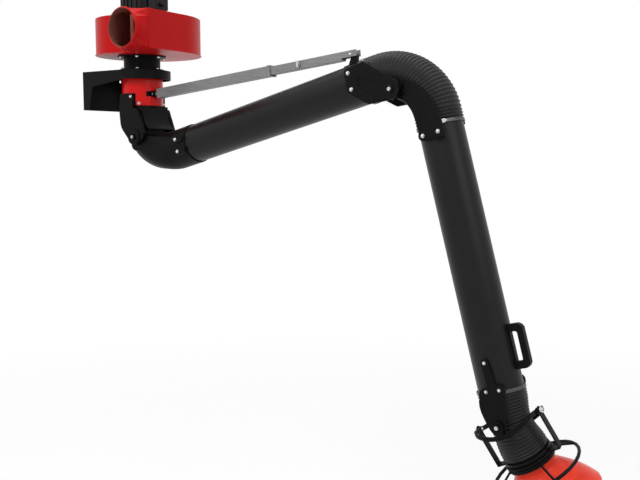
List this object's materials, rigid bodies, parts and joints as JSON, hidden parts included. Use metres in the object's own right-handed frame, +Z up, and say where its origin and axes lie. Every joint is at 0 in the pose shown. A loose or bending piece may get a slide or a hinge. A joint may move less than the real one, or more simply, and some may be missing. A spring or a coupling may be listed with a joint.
{
  "type": "fume extraction arm",
  "caption": "Wall-mounted fume extraction arm: fan on a bracket, swivel collar, two jointed black tubes with a balance rod, and a tilting red hood with a ring handle.",
  "frame": {"origin": "centre of the wall plate's back face", "axes": "+X out of the wall along the arm at rest, +Z up"},
  "size_m": [2.3096, 0.5587, 2.0673],
  "materials": {
    "bracket_black": "satin black powder coat",
    "fan_red": "gloss red paint",
    "collar_red": "moulded red",
    "hood_red": "moulded red, glossy",
    "motor_black": "black painted casting",
    "gland_black": "moulded",
    "moulding_black": "moulded, fine grain",
    "plate_black": "satin black",
    "tube_black": "satin black powder coat",
    "hose_black": "ribbed",
    "rod_grey": "grey anodised",
    "band_steel": "brushed",
    "zinc": "bright zinc"
  },
  "bodies": {
    "bracket": {"wall_bracket": "bracket_black", "neck_duct": "bracket_black", "swivel_ring": "band_steel", "fan_housing": "fan_red", "motor_flange": "motor_black", "motor_body": "motor_black", "motor_cowl": "motor_black", "terminal_box": "motor_black", "cable_gland": "gland_black"},
    "impeller": {"impeller": "band_steel", "motor_shaft": "zinc"},
    "swivel": {"swivel_collar": "collar_red", "rod_pin": "zinc", "shoulder_yoke": "moulding_black", "shoulder_pin_front": "zinc", "shoulder_pin_back": "zinc", "shoulder_hose": "hose_black"},
    "rod_sleeve": {"rod_sleeve": "rod_grey", "balance_cylinder": "zinc"},
    "rod_slider": {"rod_slider": "rod_grey", "balance_rod": "zinc"},
    "inner_arm": {"shoulder_elbow": "moulding_black", "shoulder_disc_front": "band_steel", "shoulder_disc_back": "band_steel", "inner_tube": "tube_black", "elbow_hose": "hose_black", "elbow_clamp_upper": "band_steel", "elbow_cheek_front": "moulding_black", "elbow_cheek_back": "moulding_black", "elbow_pin_front": "zinc", "elbow_pin_back": "zinc", "rod_lever": "moulding_black"},
    "outer_arm": {"outer_tube": "tube_black", "elbow_clamp_lower": "band_steel", "elbow_link_front": "moulding_black", "elbow_link_back": "moulding_black", "elbow_disc_front": "band_steel", "elbow_disc_back": "band_steel", "grab_handle": "moulding_black", "wrist_hose": "hose_black", "wrist_clamp_upper": "band_steel", "wrist_plate_front": "plate_black", "wrist_plate_back": "plate_black", "wrist_pin_front": "zinc", "wrist_pin_back": "zinc"},
    "yoke": {"wrist_yoke": "plate_black"},
    "hood": {"hood_frame": "moulding_black", "hood_pin_outer": "zinc", "hood_pin_inner": "zinc", "wrist_clamp_lower": "band_steel", "hood_shell": "hood_red", "hood_ring_handle": "moulding_black"}
  },
  "joints": [
    {"name": "impeller_spin", "type": "hinge", "parent": "bracket", "child": "impeller", "pos_m": [0.25, 0, 0.229], "axis": [0, 0, 1], "continuous": true},
    {"name": "swivel_turn", "type": "hinge", "parent": "bracket", "child": "swivel", "pos_m": [0.25, 0, 0], "axis": [0, 0, 1], "range_deg": [-80, 80]},
    {"name": "shoulder_pitch", "type": "hinge", "parent": "swivel", "child": "inner_arm", "pos_m": [0.296, 0, -0.206], "axis": [0, -1, 0], "range_deg": [-30, 20], "deforming": ["shoulder_hose"]},
    {"name": "rod_swing", "type": "hinge", "parent": "swivel", "child": "rod_sleeve", "pos_m": [0.344, 0, -0.018], "axis": [0, -1, 0], "range_deg": [-32, 21.5]},
    {"name": "rod_slide", "type": "slide", "parent": "rod_sleeve", "child": "rod_slider", "axis": [0.9943, 0, 0.1066], "range_m": [-0.0645, 0.0965]},
    {"name": "elbow_pitch", "type": "hinge", "parent": "inner_arm", "child": "outer_arm", "pos_m": [1.59112, 0, -0.04923], "axis": [0, -1, 0], "range_deg": [-55, 75], "deforming": ["elbow_hose"]},
    {"name": "wrist_pitch", "type": "hinge", "parent": "outer_arm", "child": "yoke", "pos_m": [2.00798, 0, -1.18756], "axis": [0, -1, 0], "range_deg": [-45, 20], "deforming": ["wrist_hose"]},
    {"name": "hood_tilt", "type": "hinge", "parent": "yoke", "child": "hood", "pos_m": [2.00798, 0, -1.18756], "axis": [0.8918, 0, 0.4524], "range_deg": [-50, 20], "deforming": ["wrist_hose"]}
  ],
  "couplings": [
    {"joint": "rod_swing", "follows": "shoulder_pitch", "ratio": 1.05},
    {"joint": "rod_slide", "follows": "shoulder_pitch", "m_per_rad": -0.182}
  ]
}
